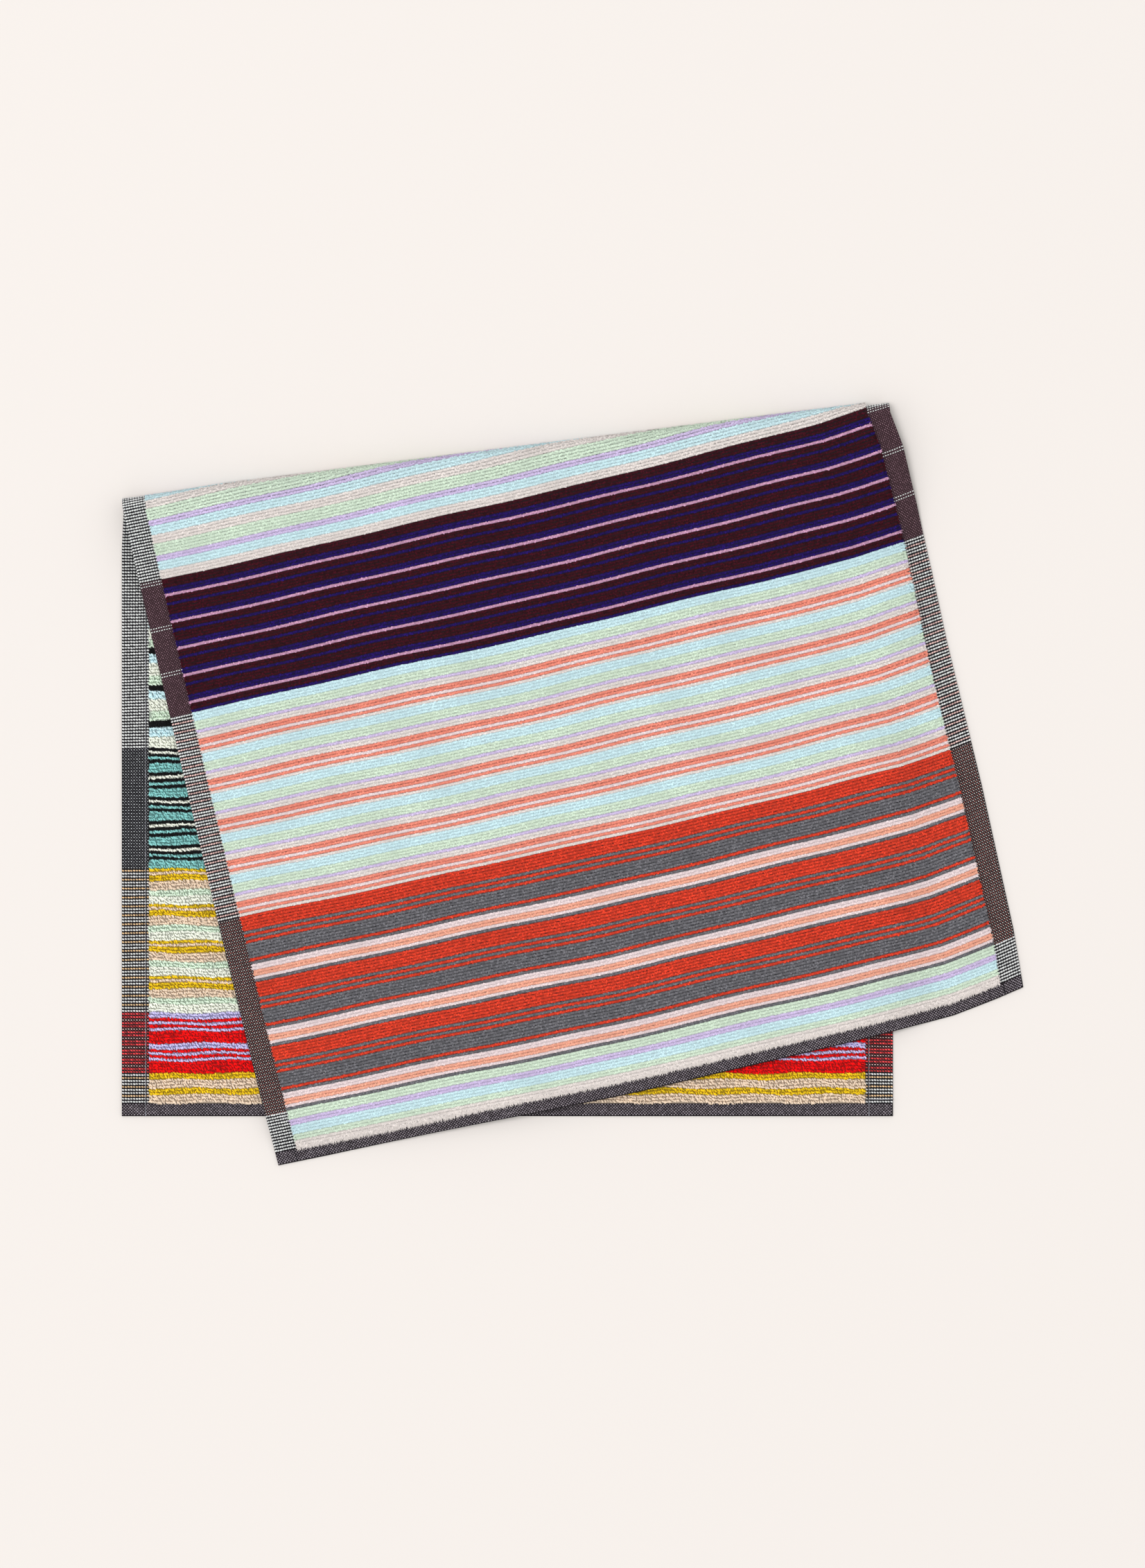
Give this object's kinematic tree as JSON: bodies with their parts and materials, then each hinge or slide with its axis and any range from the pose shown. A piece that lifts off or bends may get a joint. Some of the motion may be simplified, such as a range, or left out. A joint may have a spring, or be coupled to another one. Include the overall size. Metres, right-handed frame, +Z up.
{
  "type": "folded guest towel",
  "caption": "Striped terry guest towel with woven borders and narrow hems, folded once on a slant so that the upper flap lies turned on the lower layer.",
  "frame": {"origin": "on the table, under the middle of the folded towel", "axes": "+X to the right along the lower layer's hem, +Y from that hem towards the fold, +Z up"},
  "size_m": [0.468, 0.3958, 0.0142],
  "materials": {
    "cotton_terry": "cotton pile, velour on the face and loops on the back, matt"
  },
  "bodies": {
    "root": {"towel": "cotton_terry"}
  },
  "joints": []
}
